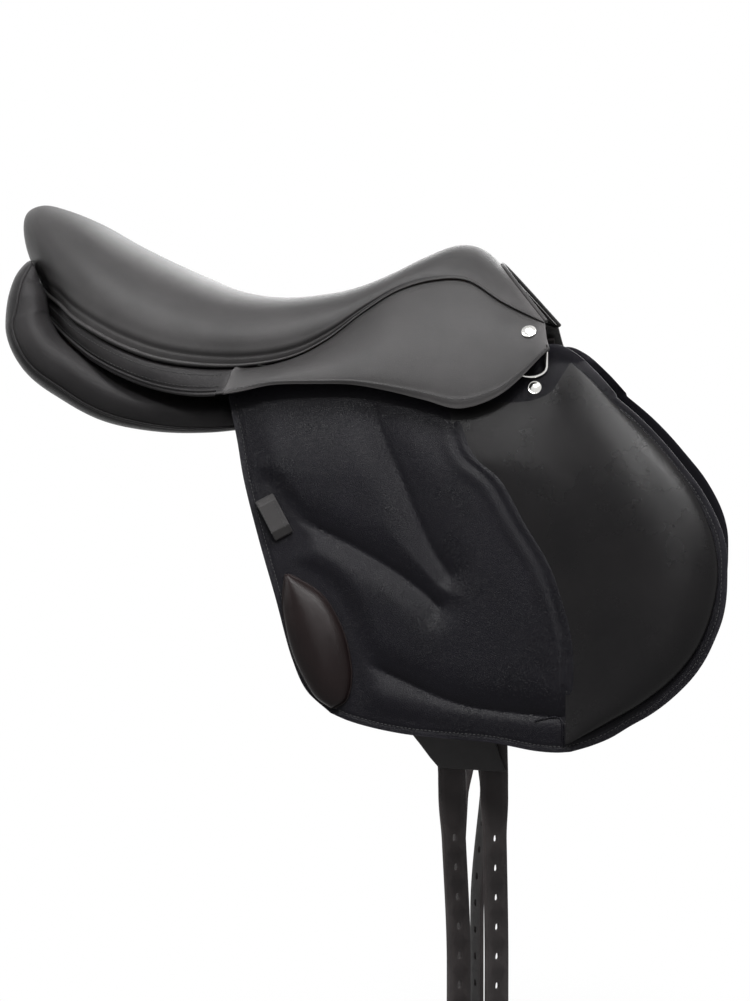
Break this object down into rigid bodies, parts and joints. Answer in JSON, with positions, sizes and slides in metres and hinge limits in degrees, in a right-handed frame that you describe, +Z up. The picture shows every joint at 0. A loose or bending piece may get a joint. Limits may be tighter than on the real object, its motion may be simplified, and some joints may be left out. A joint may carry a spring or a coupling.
{
  "type": "jumping saddle",
  "caption": "Black close-contact jumping saddle: forward flaps with knee and thigh pads, lifting skirts, catch bars for stirrup leathers, girth straps under guards.",
  "frame": {"origin": "in the middle plane, at the level that the panels bear on, under the lowest point of the seat", "axes": "+X forward to the pommel, +Y to the rider's left, +Z up"},
  "size_m": [0.6331, 0.3694, 0.796],
  "materials": {
    "seat_leather": "satin, fine grain",
    "flap_leather": "satin, pebble grain",
    "brown_leather": "semi-gloss",
    "strap_leather": "matt, waxed",
    "foam": "latex foam",
    "webbing": "woven",
    "beech": "laminated, lacquered",
    "steel": "brushed",
    "bright_metal": "polished nickel plate"
  },
  "bodies": {
    "saddle": {"seat_cover": "seat_leather", "seat_foam": "foam", "cross_web": "webbing", "tree_cantle": "beech", "tree_head": "beech", "head_plate": "steel", "seat_welt": "seat_leather", "cantle_band": "seat_leather", "pommel_facing": "seat_leather", "seat_web_right": "webbing", "seat_web_left": "webbing", "tree_rail_right": "beech", "tree_rail_left": "beech", "skirt_right": "seat_leather", "skirt_left": "seat_leather", "panel_right": "seat_leather", "panel_left": "seat_leather", "tree_point_right": "beech", "tree_point_left": "beech", "stirrup_bar_right": "steel", "stirrup_bar_left": "steel", "catch_pin_right": "bright_metal", "catch_pin_left": "bright_metal", "bar_rivet_rear_right": "bright_metal", "bar_rivet_rear_left": "bright_metal", "bar_rivet_front_right": "bright_metal", "bar_rivet_front_left": "bright_metal", "flap_top_right": "flap_leather", "flap_top_left": "flap_leather", "skirt_nail_right": "bright_metal", "skirt_nail_left": "bright_metal", "flap_nail_right": "bright_metal", "flap_nail_left": "bright_metal", "girth_web_rear_right": "strap_leather", "girth_web_rear_left": "strap_leather", "girth_web_front_right": "strap_leather", "girth_web_front_left": "strap_leather", "strap_guard_right": "flap_leather", "strap_guard_left": "flap_leather", "dee_chape_right": "strap_leather", "dee_chape_left": "strap_leather"},
    "skirt_right_tip": {"skirt_tip_right": "seat_leather"},
    "flap_right_body": {"flap_right": "flap_leather", "knee_pad_right": "flap_leather", "thigh_pad_right": "brown_leather", "strap_keeper_right": "flap_leather"},
    "rear_strap_right": {"girth_strap_rear_right": "strap_leather"},
    "front_strap_right": {"girth_strap_front_right": "strap_leather"},
    "ring_right": {"dee_ring_right": "bright_metal"},
    "catch_right": {"bar_catch_right": "steel"},
    "skirt_left_tip": {"skirt_tip_left": "seat_leather"},
    "flap_left_body": {"flap_left": "flap_leather", "knee_pad_left": "flap_leather", "thigh_pad_left": "brown_leather", "strap_keeper_left": "flap_leather"},
    "rear_strap_left": {"girth_strap_rear_left": "strap_leather"},
    "front_strap_left": {"girth_strap_front_left": "strap_leather"},
    "ring_left": {"dee_ring_left": "bright_metal"},
    "catch_left": {"bar_catch_left": "steel"}
  },
  "joints": [
    {"name": "skirt_right_lift", "type": "hinge", "parent": "saddle", "child": "skirt_right_tip", "pos_m": [-0.02669, -0.1251, 0.05087], "axis": [-0.9923, -0.0632, -0.1064], "range_deg": [0, 60]},
    {"name": "flap_right_lift", "type": "hinge", "parent": "saddle", "child": "flap_right_body", "pos_m": [0.14, -0.1195, 0.03], "axis": [-1, 0, 0], "range_deg": [0, 30]},
    {"name": "rear_strap_right_swing", "type": "hinge", "parent": "saddle", "child": "rear_strap_right", "pos_m": [0.16386, -0.118, -0.293], "axis": [-1, 0, 0], "range_deg": [-20, 25]},
    {"name": "front_strap_right_swing", "type": "hinge", "parent": "saddle", "child": "front_strap_right", "pos_m": [0.19998, -0.118, -0.293], "axis": [-1, 0, 0], "range_deg": [-20, 25]},
    {"name": "ring_right_swing", "type": "hinge", "parent": "saddle", "child": "ring_right", "pos_m": [0.22977, -0.10082, 0.07424], "axis": [-1, 0, 0], "range_deg": [0, 15]},
    {"name": "catch_right_lift", "type": "hinge", "parent": "saddle", "child": "catch_right", "pos_m": [0.13429, -0.09648, 0.07597], "axis": [0, 0.866, -0.5], "range_deg": [0, 40]},
    {"name": "skirt_left_lift", "type": "hinge", "parent": "saddle", "child": "skirt_left_tip", "pos_m": [-0.02669, 0.1251, 0.05087], "axis": [0.9923, -0.0632, 0.1064], "range_deg": [0, 60]},
    {"name": "flap_left_lift", "type": "hinge", "parent": "saddle", "child": "flap_left_body", "pos_m": [0.14, 0.1195, 0.03], "axis": [1, 0, 0], "range_deg": [0, 30]},
    {"name": "rear_strap_left_swing", "type": "hinge", "parent": "saddle", "child": "rear_strap_left", "pos_m": [0.14998, 0.118, -0.293], "axis": [1, 0, 0], "range_deg": [-20, 25]},
    {"name": "front_strap_left_swing", "type": "hinge", "parent": "saddle", "child": "front_strap_left", "pos_m": [0.17539, 0.118, -0.293], "axis": [1, 0, 0], "range_deg": [-20, 25]},
    {"name": "ring_left_swing", "type": "hinge", "parent": "saddle", "child": "ring_left", "pos_m": [0.22977, 0.10082, 0.07424], "axis": [1, 0, 0], "range_deg": [0, 15]},
    {"name": "catch_left_lift", "type": "hinge", "parent": "saddle", "child": "catch_left", "pos_m": [0.13429, 0.09648, 0.07597], "axis": [0, 0.866, 0.5], "range_deg": [0, 40]}
  ]
}
